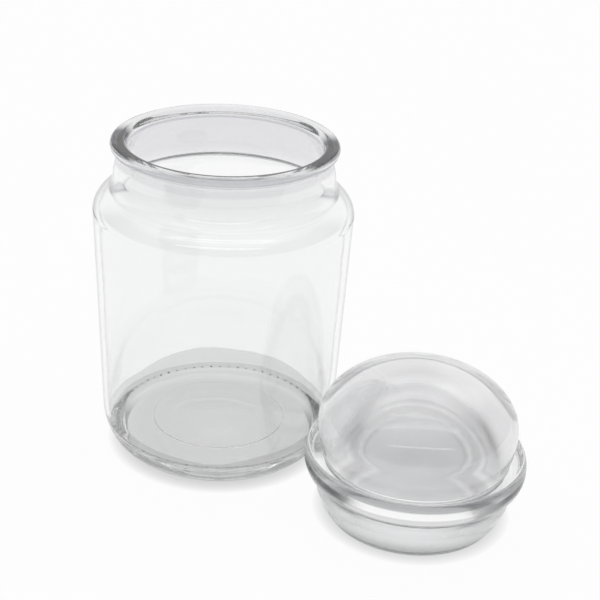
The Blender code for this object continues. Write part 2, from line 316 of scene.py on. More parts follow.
class StageSettings(bpy.types.PropertyGroup):
    """The table, the light and the camera."""

    floor_size: length("Floor", 12.0, "Width of the pale table top")
    lens: number("Lens", 86.07, "Focal length", subtype="DISTANCE_CAMERA")
    camera_place: vector(
        "Camera place", (-0.009266, -0.524631, 0.330946), "Where the camera stands",
        subtype="TRANSLATION", unit="LENGTH", precision=5,
    )
    camera_turn: vector(
        "Camera turn", (1.1202698, 0.0, -0.0101974), "Pitch, unused and yaw",
        subtype="EULER", unit="ROTATION",
    )
    camera_roll: number("Camera roll", 0.0529640, "Turn about the line of sight", unit="ROTATION")
    white_share: number("White share", 0.96, "Share of the table that glows white", min=0, max=1)
    shadow_reach: length("Shadow reach", 0.0055, "How far the close shadow spreads")
    shadow_level: number("Shadow level", 0.62, "Tone of the closest shadow", min=0, max=1)
    room: number("Room", 0.18, "Brightness of the room's walls")
    ceiling: number("Ceiling", 0.95, "Brightness of the pale ceiling")
    ceiling_start: number("Ceiling start", 0.55, "How high the ceiling's light starts")
    ceiling_full: number("Ceiling full", 0.95, "How high the ceiling's light is full")
    sweep: number("Sweep", 1.0, "Brightness of the pale sweep behind")
    sweep_start: number("Sweep start", 0.35, "How far back the pale sweep starts")
    sweep_full: number("Sweep full", 0.75, "How far back the pale sweep is full")
    strip: number("Strips", 3.0, "Brightness of the two strip lights in front")
    strip_low: number(
        "Low strip", math.radians(46), "How high the lower strip light stands", subtype="ANGLE"
    )
    strip_high: number(
        "High strip", math.radians(80), "How high the upper strip light stands", subtype="ANGLE"
    )
    strip_width: number("Strip width", 0.04, "Half the width of a strip light")
    strip_length: number("Strip length", 0.60, "Half the length of a strip light")


def settings():
    """Return the scene's settings for the jar."""
    return bpy.context.scene.glass_jar


def arc(centre, run, rise, start_deg, end_deg, steps):
    """Return an ellipse's arc; 0 degrees points outward, 90 degrees up."""
    points = []
    for step in range(steps + 1):
        turn = math.radians(start_deg + (end_deg - start_deg) * step / steps)
        points.append((centre[0] + run * math.cos(turn), centre[1] + rise * math.sin(turn)))
    return points


def blend(start, corner, end, steps):
    """Return the points between start and end of a curve that rounds a corner."""
    points = []
    for step in range(1, steps):
        share = step / steps
        weights = ((1 - share) ** 2, 2 * share * (1 - share), share**2)
        points.append(
            tuple(
                sum(w * point[axis] for w, point in zip(weights, (start, corner, end)))
                for axis in (0, 1)
            )
        )
    return points


def between(start, end, share):
    """Return the point a share of the way from start to end."""
    return tuple(a + (b - a) * share for a, b in zip(start, end))


def line(start, end, steps):
    """Return the points between start and end of a straight line, without its ends."""
    return [between(start, end, step / steps) for step in range(1, steps)]


def jar_inside(s):
    """Return the jar's inner profile, from the floor's middle up to the rim's land."""
    rim = s.neck_radius + s.bead_overhang
    land_start = (s.bore_radius + rim) / 2 - s.land_width / 2
    inner_foot = s.foot_radius - s.wall
    inner_body = s.body_radius - s.wall
    low = s.floor_height
    disc_middle = (0.0, low + s.disc_step)
    disc_edge = (s.disc_radius, low + s.disc_step)
    disc_corner = (s.disc_radius + s.disc_step, low + s.disc_step)
    step_foot = (s.disc_radius + s.disc_step * 2, low)
    disc = [disc_middle, *line(disc_middle, disc_edge, steps=16), disc_edge]
    floor = blend(disc_edge, disc_corner, step_foot, steps=6)
    floor += [step_foot, *line(step_foot, (s.floor_radius, low), steps=16)]
    heel_centre = (s.floor_radius, low + s.inner_heel)
    heel = arc(heel_centre, inner_foot - s.floor_radius, s.inner_heel, -90, 0, steps=24)
    shoulder_centre = (s.body_radius - s.shoulder_run, s.height - s.shoulder_drop)
    shoulder_run = inner_body - shoulder_centre[0]
    shoulder_rise = s.shoulder_rise - s.wall
    shoulder = arc(shoulder_centre, shoulder_run, shoulder_rise, 0, SHOULDER_END_DEG, steps=16)
    bore_foot = (s.bore_radius, s.height - s.bore_length)
    corner = (
        s.bore_radius + s.mouth_round * MOUTH_EASE_SHARE,
        between(shoulder[-1], bore_foot, MOUTH_EASE_SHARE)[1],
    )
    mouth_centre = (land_start, s.height - s.mouth_round)
    mouth = arc(mouth_centre, land_start - s.bore_radius, s.mouth_round, 180, 90, steps=12)
    wall = line(heel[-1], shoulder[0], steps=40)
    to_bore = blend(shoulder[-1], corner, bore_foot, steps=20)
    bore = line(bore_foot, mouth[0], steps=8)
    return disc + floor + heel + wall + shoulder + to_bore + [bore_foot] + bore + mouth


def jar_outside(s):
    """Return the jar's outer profile, from the rim's land down to the base's middle."""
    rim = s.neck_radius + s.bead_overhang
    half_bead = s.bead_height / 2
    land_end = (s.bore_radius + rim) / 2 + s.land_width / 2
    bead_centre = (land_end, s.height - half_bead)
    bead = arc(bead_centre, rim - land_end, half_bead, 90, BEAD_END_DEG, steps=20)
    bead_corner = (s.neck_radius, bead[-1][1] - half_bead * BEAD_EASE_SHARE)
    neck_top = (s.neck_radius, s.height - s.bead_height - half_bead / 2)
    neck_foot = (s.neck_radius + s.neck_flare, neck_top[1] - s.neck_length)
    shoulder_centre = (s.body_radius - s.shoulder_run, s.height - s.shoulder_drop)
    shoulder = arc(
        shoulder_centre, s.shoulder_run, s.shoulder_rise, SHOULDER_END_DEG, 0, steps=20
    )
    shoulder_corner = (neck_foot[0], between(neck_foot, shoulder[0], 1 / 2)[1])
    heel_centre = (s.foot_radius - s.heel_run, s.heel_height)
    heel = arc(heel_centre, s.heel_run, s.heel_height, 0, -90, steps=32)
    bearing_inner = heel_centre[0] - s.bearing_width
    inward = [out for out, _ in line((1.0, 0.0), (0.0, 0.0), steps=20)] + [0.0]
    push_up = [(bearing_inner * out, s.push_up * (1 - out**2) ** 2) for out in inward]
    neck_start = blend(bead[-1], bead_corner, neck_top, steps=6)
    neck = line(neck_top, neck_foot, steps=8)
    to_shoulder = blend(neck_foot, shoulder_corner, shoulder[0], steps=10)
    wall = line(shoulder[-1], heel[0], steps=40)
    return (
        bead + neck_start + [neck_top] + neck + [neck_foot] + to_shoulder
        + shoulder + wall + heel + [(bearing_inner, 0.0)] + push_up
    )


def dome_middle(s):
    """Return the height of the dome's widest place."""
    return s.seat_height + s.flange_thickness - s.waist_depth + s.dome_waist_rise


def dome_curve(s):
    """Return the dome's profile from its top down to where it is drawn in to its waist."""
    centre = (0.0, dome_middle(s))
    tuck = math.acos(s.waist_radius / s.dome_radius)
    tuck_rise = s.dome_waist_rise / math.sin(tuck)
    upper = arc(centre, s.dome_radius, s.dome_rise, 90, 0, steps=48)
    return upper + arc(centre, s.dome_radius, tuck_rise, 0, -math.degrees(tuck), steps=12)[1:]


def hollow_curve(s):
    """Return the hollow's profile, from the plug's foot up to its rounded top."""
    low = (s.plug_radius - s.plug_taper - s.foot_wall, s.foot_round * 2)
    rise = dome_middle(s) + s.dome_rise - s.dome_wall - s.seat_height
    upper = arc((0.0, s.seat_height), s.hollow_radius, rise, 0, 90, steps=48)
    return [low, *line(low, upper[0], steps=12)] + upper


def lid_profile(s):
    """Return the lid glass's two profiles: down the outside, then up the inside."""
    dome = dome_curve(s)
    edge_centre = (s.flange_radius - s.flange_edge, s.seat_height + s.flange_thickness / 2)
    edge = arc(edge_centre, s.flange_edge, s.flange_thickness / 2, 90, -90, steps=28)
    top = s.plug_radius
    foot = top - s.plug_taper
    seat_inner = (top + s.seat_fillet, s.seat_height)
    side_top = (top, s.seat_height - s.seat_fillet)
    round_centre = (foot - s.foot_round, s.foot_round)
    foot_round = arc(round_centre, s.foot_round, s.foot_round, 0, -90, steps=8)
    fillet = blend(seat_inner, (top, s.seat_height), side_top, steps=8)
    side = [seat_inner] + fillet + [side_top] + line(side_top, foot_round[0], steps=10)
    inner_foot = (foot_round[-1][0] - s.foot_width, 0.0)
    ledge = line(dome[-1], edge[0], steps=8)
    under = line(edge[-1], seat_inner, steps=6)
    outside = dome + ledge + edge + under + side + foot_round
    return outside, [inner_foot] + hollow_curve(s)


def seal_profile(s, lid):
    """Return the seal's closed profile: down its outer side, then up along the plug."""
    toe = lid.plug_radius - lid.plug_taper + s.play
    top_height = lid.seat_height - lid.seat_fillet - s.play
    toe_outer = (toe + s.toe_wall, s.foot_gap)
    bulge_top = (s.radius, s.foot_gap + s.bulge_height)
    bulge_corner = (s.radius, between(toe_outer, bulge_top, BULGE_EASE_SHARE)[1])
    bulge = [bulge_top, *blend(bulge_top, bulge_corner, toe_outer, steps=24), toe_outer]
    outer_top = (s.radius, top_height)
    inner_foot = (toe, s.foot_gap)
    inner_low = (toe, lid.foot_round)
    inner_top = (lid.plug_radius + s.play, top_height)
    outer = [outer_top, *line(outer_top, bulge_top, steps=6)] + bulge
    return outer + [inner_foot, inner_low, *line(inner_low, inner_top, steps=8), inner_top]


def add_node(tree, kind, links=None, values=None, **options):
    """Add a node, set its options and values, and link its inputs."""
    node = tree.nodes.new(kind)
    for name, value in options.items():
        setattr(node, name, value)
    for name, value in (values or {}).items():
        node.inputs[name].default_value = value
    for name, source in (links or {}).items():
        tree.links.new(source, node.inputs[name])
    return node


def calculate(tree, operation, first, second=None, **options):
    """Return the result of one calculation on sockets or numbers."""
    node = add_node(tree, "ShaderNodeMath", operation=operation, **options)
    for index, term in enumerate((first, second)):
        if isinstance(term, (int, float)):
            node.inputs[index].default_value = term
        elif term is not None:
            tree.links.new(term, node.inputs[index])
    return node.outputs[0]


def calculate_vector(tree, operation, first, second):
    """Return the result of one calculation on a vector socket and a fixed vector."""
    node = add_node(tree, "ShaderNodeVectorMath", {0: first}, {1: second}, operation=operation)
    return node.outputs["Value" if operation == "DOT_PRODUCT" else "Vector"]


def product(tree, *terms):
    """Return the product of sockets or numbers."""
    result = terms[0]
    for term in terms[1:]:
        result = calculate(tree, "MULTIPLY", result, term)
    return result


def total(tree, *terms):
    """Return the sum of sockets or numbers."""
    result = terms[0]
    for term in terms[1:]:
        result = calculate(tree, "ADD", result, term)
    return result


def noise(tree, place, pattern, links=None):
    """Return a noise node on a place, with the settings of a soft pattern."""
    return add_node(
        tree, "ShaderNodeTexNoise", {"Vector": place, **(links or {})}, pattern,
        noise_dimensions="4D",
    )


def new_tree(name, inputs):
    """Return a new Geometry Nodes tree with these named inputs, its inputs and its end."""
    tree = bpy.data.node_groups.new(name, "GeometryNodeTree")
    tree.interface.new_socket("Geometry", in_out="INPUT", socket_type="NodeSocketGeometry")
    for label, kind in inputs.items():
        tree.interface.new_socket(label, in_out="INPUT", socket_type="NodeSocket" + kind)
    tree.interface.new_socket("Geometry", in_out="OUTPUT", socket_type="NodeSocketGeometry")
    return tree, tree.nodes.new("NodeGroupInput").outputs, tree.nodes.new("NodeGroupOutput")


def reshaped(tree, kind, geometry, links=None, values=None):
    """Return what one kind of node makes of a geometry."""
    node = add_node(tree, kind, {"Geometry": geometry, **(links or {})}, values)
    return node.outputs["Geometry"]


def moved(tree, geometry, way, distance):
    """Return the geometry with its points moved some distance along a way."""
    push = add_node(tree, "ShaderNodeVectorMath", {0: way, "Scale": distance}, operation="SCALE")
    return reshaped(
        tree, "GeometryNodeSetPosition", geometry, {"Offset": push.outputs["Vector"]}
    )


def point_share(tree, name):
    """Return the share that each point of the profile was given under a name."""
    node = add_node(
        tree, "GeometryNodeInputNamedAttribute", None, {"Name": name}, data_type="FLOAT"
    )
    return node.outputs["Attribute"]


def finish_tree(tree, geometry, given, end):
    """Place and smooth the geometry, and end the tree in Realize Instances and Set Material."""
    geometry = reshaped(tree, "GeometryNodeTransform", geometry, {"Translation": given["Place"]})
    geometry = reshaped(tree, "GeometryNodeSetShadeSmooth", geometry)
    geometry = reshaped(tree, "GeometryNodeRealizeInstances", geometry)
    geometry = reshaped(tree, "GeometryNodeSetMaterial", geometry, {"Material": given["Material"]})
    tree.links.new(geometry, end.inputs["Geometry"])


def turning_tree():
    """Return the tree that turns a profile round the upright axis and waves its inside."""
    tree, given, end = new_tree(
        "Turned glass",
        {
            "Steps": "Int", "Path Radius": "Float", "Wave Height": "Float",
            "Wave Scale": "Float", "Wave Seed": "Float", "Drift": "Float",
            "Place": "Vector", "Material": "Material",
        },
    )
    profile = add_node(tree, "GeometryNodeMeshToCurve", {"Mesh": given["Geometry"]})
    path = add_node(
        tree, "GeometryNodeCurvePrimitiveCircle",
        {"Resolution": given["Steps"], "Radius": given["Path Radius"]},
    )
    swept = add_node(
        tree, "GeometryNodeCurveToMesh",
        {"Curve": path.outputs["Curve"], "Profile Curve": profile.outputs["Curve"]},
    )
    joined = reshaped(
        tree, "GeometryNodeMergeByDistance", swept.outputs["Mesh"], None,
        {"Distance": MERGE_DISTANCE},
    )
    place = add_node(tree, "GeometryNodeInputPosition").outputs["Position"]
    normal = add_node(tree, "GeometryNodeInputNormal").outputs["Normal"]
    seed = {"W": given["Wave Seed"]}
    wave = noise(tree, place, WAVES, {"Scale": given["Wave Scale"], **seed}).outputs[0]
    wave = calculate(tree, "SUBTRACT", wave, 1 / 2)
    wave = product(tree, wave, given["Wave Height"], point_share(tree, "wave"))
    waved = moved(tree, joined, normal, wave)
    wander = noise(tree, place, WANDER, seed).outputs["Color"]
    wander = calculate_vector(tree, "SUBTRACT", wander, NOISE_MIDDLE)
    wander = calculate_vector(tree, "MULTIPLY", wander, LEVEL_ONLY)
    drift = product(tree, point_share(tree, "drift"), given["Drift"])
    finish_tree(tree, moved(tree, waved, wander, drift), given, end)
    return tree


def dots_tree():
    """Return the tree that sets small round dots on a ring."""
    tree, given, end = new_tree(
        "Ring of dots",
        {
            "Count": "Int", "Ring Radius": "Float", "Dot Radius": "Float", "Seed": "Int",
            "Place": "Vector", "Material": "Material",
        },
    )
    ring = add_node(
        tree, "GeometryNodeMeshCircle",
        {"Vertices": given["Count"], "Radius": given["Ring Radius"]},
    )
    dot = add_node(
        tree, "GeometryNodeMeshIcoSphere", {"Radius": given["Dot Radius"]}, {"Subdivisions": 2}
    )
    size = add_node(
        tree, "FunctionNodeRandomValue", {"Seed": given["Seed"]}, data_type="FLOAT"
    )
    for socket, share in zip((size.inputs[2], size.inputs[3]), DOT_SIZE_SHARES):
        socket.default_value = share
    set_out = add_node(
        tree, "GeometryNodeInstanceOnPoints",
        {"Points": ring.outputs["Mesh"], "Instance": dot.outputs["Mesh"], "Scale": size.outputs[1]},
    )
    finish_tree(tree, set_out.outputs["Instances"], given, end)
    return tree


def run_tree(name, source, tree, values, material):
    """Return a plain mesh object made by running a tree on a source mesh."""
    maker = bpy.data.objects.new(name, source)
    bpy.context.scene.collection.objects.link(maker)
    modifier = maker.modifiers.new("Make", "NODES")
    modifier.node_group = tree
    values = {**values, "Material": material}
    for item in tree.interface.items_tree:
        if item.item_type == "SOCKET" and item.in_out == "INPUT" and item.name in values:
            modifier[item.identifier] = values[item.name]
    graph = bpy.context.evaluated_depsgraph_get()
    mesh = bpy.data.meshes.new_from_object(maker.evaluated_get(graph), depsgraph=graph)
    maker.modifiers.remove(modifier)
    mesh.name = name
    maker.data = mesh
    if not mesh.polygons:
        raise RuntimeError(f"{name} came out empty")
    if not mesh.materials:
        mesh.materials.append(material)
    for extra in [a.name for a in mesh.attributes if a.name in ("wave", "drift")]:
        mesh.attributes.remove(mesh.attributes[extra])
    return maker


def turned(
    name, profile, axis, steps, material, closed=False,
    waves=None, wave_height=0.0, wave_width=1.0, seed=0.0, drifts=None, drift=0.0,
):
    """Return a piece turned from a profile of (radius, height) points."""
    mesh = bpy.data.meshes.new(name + "_profile")
    points = [(radius - SWEEP_RADIUS, -height, 0.0) for radius, height in profile]
    edges = [(first, first + 1) for first in range(len(points) - 1)]
    if closed:
        edges.append((len(points) - 1, 0))
    mesh.from_pydata(points, edges, [])
    for label, shares in (("wave", waves), ("drift", drifts)):
        attribute = mesh.attributes.new(label, "FLOAT", "POINT")
        attribute.data.foreach_set("value", shares or [0.0] * len(points))
    values = {
        "Steps": steps,
        "Path Radius": SWEEP_RADIUS,
        "Wave Height": wave_height,
        "Wave Scale": 1 / wave_width,
        "Wave Seed": seed,
        "Drift": drift,
        "Place": (axis.x, axis.y, 0.0),
    }
    return run_tree(name, mesh, turning_tree(), values, material)


def rising(tree, value, low, high):
    """Return a share that rises smoothly from 0 at low to 1 at high."""
    node = add_node(
        tree, "ShaderNodeMapRange", {"Value": value},
        {"From Min": low, "From Max": high, "To Min": 0.0, "To Max": 1.0},
        interpolation_type="SMOOTHSTEP",
    )
    return node.outputs["Result"]


def fade(tree, value, level, size, shares):
    """Return a share that rises from 0 to 1 between two shares of a size, from a level."""
    start, full = shares
    return rising(tree, value, level + size * start, level + size * full)


def band(tree, value, level, size, shares):
    """Return a share that rises between the first two of four shares and falls between the rest."""
    start, full, fading, gone = shares
    return product(
        tree, fade(tree, value, level, size, (start, full)),
        fade(tree, value, level, size, (gone, fading)),
    )


def mixed_tint(tree, share, first, second):
    """Return a mix of two tints, each a colour or a socket."""
    node = add_node(tree, "ShaderNodeMix", {"Factor": share}, data_type="RGBA")
    colour_sockets = [socket for socket in node.inputs if socket.type == "RGBA"]
    for socket, tint in zip(colour_sockets, (first, second)):
        if isinstance(tint, bpy.types.NodeSocket):
            tree.links.new(tint, socket)
        else:
            socket.default_value = tint
    return [socket for socket in node.outputs if socket.type == "RGBA"][0]


def tinted(tree, ground, zones):
    """Return a ground tint with the tint of each zone laid over it in turn."""
    for share, tint in zones:
        ground = mixed_tint(tree, share, ground, tint)
    return ground


def patches(tree, pattern, seed=None):
    """Return a soft pattern on the piece's own coordinates."""
    place = add_node(tree, "ShaderNodeTexCoord")
    if seed is not None:
        pattern = {**pattern, "W": seed}
    return noise(tree, place.outputs["Object"], pattern).outputs[0]


def about_axis(tree, axis):
    """Return a place on a piece as x, y, z and radius from its upright axis."""
    place = add_node(tree, "ShaderNodeTexCoord")
    centred = add_node(
        tree, "ShaderNodeMapping", {"Vector": place.outputs["Object"]},
        {"Location": (-axis.x, -axis.y, 0.0)}, vector_type="POINT",
    )
    x, y, z = add_node(
        tree, "ShaderNodeSeparateXYZ", {"Vector": centred.outputs["Vector"]}
    ).outputs
    square = total(tree, calculate(tree, "POWER", x, 2.0), calculate(tree, "POWER", y, 2.0))
    return x, y, z, calculate(tree, "SQRT", square)


def base_zones(tree, spot, finish, s):
    """Return the zones of the jar's thick base: its wavy edge, and painted shade on its heel, inner
    wall and raised disc's step.
    """
    x, y, z, radius = spot
    turn = calculate(tree, "ARCTAN2", x, y)
    swing = calculate(tree, "COSINE", product(tree, turn, finish.edge_peaks))
    ragged = calculate(tree, "SUBTRACT", patches(tree, RAGGED), 1 / 2)
    edge = total(
        tree, product(tree, swing, finish.edge_wave),
        product(tree, ragged, finish.edge_wave * 2), finish.base_edge,
    )
    below = rising(tree, calculate(tree, "SUBTRACT", edge, z), -EDGE_BLUR, EDGE_BLUR)
    inner = calculate(tree, "LESS_THAN", radius, s.foot_radius - s.wall * INNER_WALL_SHARE)
    base = product(tree, below, inner)
    under = fade(tree, z, 0.0, finish.heel_top, HEEL_FADE_SHARES)
    # painted shade: a dark line on the front of the heel, low over the table
    heel = product(
        tree, fade(tree, z, 0.0, finish.heel_top, HEEL_LINE_SHARES),
        calculate(tree, "GREATER_THAN", radius, s.foot_radius - s.heel_run * HEEL_REACH_SHARE),
        rising(tree, y, s.heel_height, 0.0),
    )
    # painted shade along the step round the raised disc
    disc_shade_line = product(
        tree, band(tree, z, s.floor_height, s.disc_step, DISC_LINE_SHARES),
        calculate(tree, "LESS_THAN", radius, s.disc_radius + s.disc_drift * 2),
    )
    # painted shade on the inner wall where the thick base meets it
    wall_shade = rising(tree, radius, s.floor_radius - s.wall, s.floor_radius)
    return (
        (calculate(tree, "MAXIMUM", base, under), finish.base),
        (product(tree, base, wall_shade), finish.base_wall_shade),
        (heel, finish.heel),
        (disc_shade_line, finish.disc_shade_line),
    )


def neck_zones(tree, spot, finish, s):
    """Return the zones of the jar's neck: all round, and painted shade on its far side."""
    _, y, z, radius = spot
    outside = rising(tree, z, finish.neck_start, finish.neck_full)
    inside = product(
        tree, rising(tree, z, finish.bore_start, finish.bore_full),
        calculate(tree, "LESS_THAN", radius, s.neck_radius - s.wall * NECK_WALL_SHARE),
    )
    # painted shade: the far side of the neck is darker
    far = product(
        tree, rising(tree, z, finish.back_start, finish.back_full),
        fade(tree, z, s.height, s.mouth_round, FAR_DEPTH_SHARES),
        fade(tree, y, 0.0, s.mouth_round, FAR_SIDE_SHARES),
    )
    return (
        (calculate(tree, "MAXIMUM", outside, inside), finish.neck),
        (far, finish.far_neck_shade),
    )


def rim_zones(tree, spot, finish, s):
    """Return the zones of the jar's rim: its bead, and painted shade on the bore's line, the front
    of the mouth's edge and dark arcs at both sides.
    """
    x, y, z, radius = spot
    bead_start = s.bore_radius + s.mouth_round * BEAD_START_SHARE
    bead = product(
        tree, rising(tree, radius, bead_start, s.neck_radius),
        fade(tree, z, s.height, s.bead_height, BEAD_DEPTH_SHARES),
    )
    # painted shade: a dark line on the bore just under the mouth's rounding
    bore_shade_line = product(
        tree, band(tree, z, s.height, s.mouth_round, BORE_LINE_SHARES),
        calculate(tree, "LESS_THAN", radius, s.bore_radius + s.mouth_round * BORE_REACH_SHARE),
    )
    # painted shade: a dark line on the front of the mouth's rounded inner edge
    lip_shade = product(
        tree, fade(tree, radius, s.bore_radius, s.mouth_round, LIP_REACH_SHARES),
        fade(tree, z, s.height, s.mouth_round, LIP_DEPTH_SHARES),
        fade(tree, y, 0.0, s.mouth_round, LIP_FRONT_SHARES),
    )
    rim = s.neck_radius + s.bead_overhang
    # painted shade: dark crescents at the rim's left and right
    side_shade_crescents = product(
        tree, fade(tree, radius, rim, s.bead_overhang, CRESCENT_REACH_SHARES),
        fade(tree, calculate(tree, "ABSOLUTE", x), 0.0, s.neck_radius, CRESCENT_SIDE_SHARES),
        fade(tree, z, s.height, s.bead_height, CRESCENT_DEPTH_SHARES),
        fade(tree, y, 0.0, s.mouth_round, CRESCENT_FRONT_SHARES),
    )
    return (
        (bead, finish.bead),
        (bore_shade_line, finish.bore_shade_line),
        (calculate(tree, "MAXIMUM", lip_shade, side_shade_crescents), finish.lip_shade),
    )


def outline(tree, z, s):
    """Return a share of painted shade that darkens the jar where it turns away, most on its
    shoulder.
    """
    turned_away = add_node(tree, "ShaderNodeLayerWeight").outputs["Facing"]
    thin = rising(tree, turned_away, *THIN_OUTLINE_SHARES)
    wide = rising(tree, turned_away, *WIDE_OUTLINE_SHARES)
    shoulder_foot = s.height - s.shoulder_drop
    on_shoulder = band(tree, z, shoulder_foot, s.shoulder_rise, OUTLINE_HEIGHT_SHARES)
    return calculate(tree, "MAXIMUM", thin, product(tree, wide, on_shoulder))


def jar_tint(tree):
    """Tint the jar: clear walls, a greyer thick base with a wavy edge, a greyer neck and rim, and
    painted shade in dark lines and where it turns away.
    """
    s = settings().jar
    finish = settings().finish
    spot = about_axis(tree, JAR_AXIS)
    zones = base_zones(tree, spot, finish, s) + neck_zones(tree, spot, finish, s)
    zones += rim_zones(tree, spot, finish, s)
    return tinted(tree, finish.glass, (*zones, (outline(tree, spot[2], s), finish.outline)))


def lid_tint(tree):
    """Tint the lid: a clear plug, soft hazy patches over it, and painted shade on the flange's
    edges.
    """
    s = settings().lid
    finish = settings().finish
    x, y, z, radius = about_axis(tree, LID_AXIS)
    aside = calculate(tree, "ABSOLUTE", x)
    thick = s.flange_thickness
    middle = s.seat_height + thick / 2
    haze = rising(tree, patches(tree, HAZE), *HAZE_SHARES)
    hazy = mixed_tint(tree, haze, finish.lid_dark, finish.lid_light)
    domed = fade(tree, z, s.seat_height, thick, DOMED_SHARES)
    edge = fade(tree, radius, s.flange_radius, s.flange_edge, FLANGE_REACH_SHARES)
    # painted shade: a grey band on the lower edge all round
    foot = product(tree, edge, fade(tree, z, middle, thick, FLANGE_FOOT_SHARES))
    # painted shade: a dark band on the upper edge, most in the middle
    upper = product(
        tree, edge, fade(tree, z, middle, thick, FLANGE_TOP_SHARES),
        fade(tree, aside, 0.0, s.flange_radius, FLANGE_MIDDLE_SHARES),
    )
    # painted shade: dark crescents at the front of the edge's sides
    sides = product(
        tree, edge, band(tree, z, middle, thick, FLANGE_LINE_SHARES),
        fade(tree, aside, 0.0, s.flange_radius, FLANGE_SIDE_SHARES),
        fade(tree, y, 0.0, thick, FLANGE_FRONT_SHARES),
    )
    zones = (
        (domed, hazy),
        (foot, finish.flange_foot_shade),
        (upper, finish.flange),
        (sides, finish.flange_side_shade),
    )
    return tinted(tree, finish.plug, zones)


def lid_dullness(tree):
    """Return how much duller the lid's inside is than its outside."""
    s = settings().lid
    _, _, z, radius = about_axis(tree, LID_AXIS)
    inside = calculate(tree, "LESS_THAN", radius, s.hollow_radius + s.wave_height)
    under = calculate(tree, "LESS_THAN", z, dome_middle(s) + s.dome_rise - s.dome_wall / 2)
    return product(tree, inside, under, settings().finish.dullness)


def dot_shade_tint(tree):
    """Tint the dots with painted shade: dark, and a little lighter here and there."""
    finish = settings().finish
    return mixed_tint(tree, patches(tree, SPECKS), finish.dot, finish.heel)


def seal_tint(tree):
    """Tint the seal: painted shade that darkens it towards its foot."""
    s = settings().seal
    finish = settings().finish
    height = about_axis(tree, LID_AXIS)[2]
    share = rising(tree, height, s.foot_gap, s.foot_gap + s.bulge_height)
    return mixed_tint(tree, share, finish.seal_foot_shade, finish.seal_top)


def new_material(name, values):
    """Return a new material, its tree, its main shader with these values, and its output."""
    material = bpy.data.materials.new(name)
    material.use_nodes = True
    tree = material.node_tree
    shader = tree.nodes["Principled BSDF"]
    for label, value in values.items():
        shader.inputs[label].default_value = value
    return material, tree, shader, tree.nodes["Material Output"]


def mixed_surface(tree, share, first, second, out):
    """Let the surface be a mix of two shaders."""
    mixed = add_node(tree, "ShaderNodeMixShader", {0: share, 1: first, 2: second})
    tree.links.new(mixed.outputs["Shader"], out.inputs["Surface"])


def clear_glass(name, tint, density, face, dulled=None):
    """Return clear glass: its tint deepens with thickness, and its face is faintly uneven."""
    rough_low, rough_high, swell, seed = face
    material, tree, shader, out = new_material(
        name, {"IOR": GLASS_IOR, "Transmission Weight": 1.0}
    )
    tree.links.new(tint(tree), shader.inputs["Base Color"])
    smear_low, smear_high = SMEAR_SHARES
    rough = add_node(
        tree, "ShaderNodeMapRange", {"Value": patches(tree, SMEARS, seed)},
        {"From Min": smear_low, "From Max": smear_high, "To Min": rough_low, "To Max": rough_high},
    ).outputs["Result"]
    if dulled:
        rough = total(tree, rough, dulled(tree))
    tree.links.new(rough, shader.inputs["Roughness"])
    bump = add_node(
        tree, "ShaderNodeBump", {"Height": patches(tree, SWELLS, seed + SWELL_SEED_STEP)},
        {"Strength": swell, "Distance": SWELL_DEPTH},
    )
    tree.links.new(bump.outputs["Normal"], shader.inputs["Normal"])
    depth = settings().finish.depth
    body = add_node(tree, "ShaderNodeVolumeAbsorption", None, {"Color": depth, "Density": density})
    tree.links.new(body.outputs["Volume"], out.inputs["Volume"])
    lamp_ray = add_node(tree, "ShaderNodeLightPath").outputs["Is Shadow Ray"]
    clear = add_node(tree, "ShaderNodeBsdfTransparent", None, {"Color": LAMP_TINT})
    mixed_surface(tree, lamp_ray, shader.outputs["BSDF"], clear.outputs["BSDF"], out)
    return material


def table_white(s):
    """Return the table's plain white, which keeps a close, soft shadow."""
    material, tree, shader, out = new_material(
        "table_white", {"Base Color": TABLE_COLOUR, "Roughness": 1.0, "Specular IOR Level": 0.0}
    )
    ray = add_node(tree, "ShaderNodeLightPath").outputs
    seen = total(tree, ray["Is Camera Ray"], ray["Is Glossy Ray"])
    seen = calculate(tree, "ADD", seen, ray["Is Transmission Ray"], use_clamp=True)
    near = add_node(tree, "ShaderNodeAmbientOcclusion", None, {"Distance": s.shadow_reach})
    level = add_node(
        tree, "ShaderNodeMapRange", {"Value": near.outputs["AO"]},
        {"From Min": 0.0, "From Max": 1.0, "To Min": s.shadow_level, "To Max": OPEN_LEVEL},
    )
    white = add_node(tree, "ShaderNodeEmission", {"Strength": level.outputs["Result"]})
    share = product(tree, seen, s.white_share)
    mixed_surface(tree, share, shader.outputs["BSDF"], white.outputs["Emission"], out)
    return material


def strip_light(tree, way, height, s):
    """Return a share that is 1 in a level strip in front, at a height given as an angle."""
    across = (0.0, math.sin(height), math.cos(height))
    offset = calculate(tree, "ABSOLUTE", calculate_vector(tree, "DOT_PRODUCT", way, across))
    return rising(tree, offset, s.strip_width, s.strip_width * STRIP_EDGE_SHARE)


def room_light(s):
    """Return the room's light: a pale ceiling and sweep, two strip lights, dim elsewhere."""
    world = bpy.data.worlds.new("room_light")
    world.use_nodes = True
    tree = world.node_tree
    way = add_node(tree, "ShaderNodeTexCoord").outputs["Generated"]
    x, y, z = add_node(tree, "ShaderNodeSeparateXYZ", {0: way}).outputs
    behind = product(tree, rising(tree, y, s.sweep_start, s.sweep_full), s.sweep - s.room)
    above = product(tree, rising(tree, z, s.ceiling_start, s.ceiling_full), s.ceiling - s.room)
    strips = total(
        tree, strip_light(tree, way, s.strip_low, s), strip_light(tree, way, s.strip_high, s)
    )
    sideways = calculate(tree, "ABSOLUTE", x)
    strips = product(
        tree, strips, rising(tree, sideways, s.strip_length, s.strip_length * STRIP_END_SHARE),
        rising(tree, z, *STRIP_FADE), s.strip,
    )
    background = tree.nodes["Background"]
    tree.links.new(total(tree, behind, above, s.room, strips), background.inputs["Strength"])
    background.inputs["Color"].default_value = (1.0, 1.0, 1.0, 1.0)
    return world


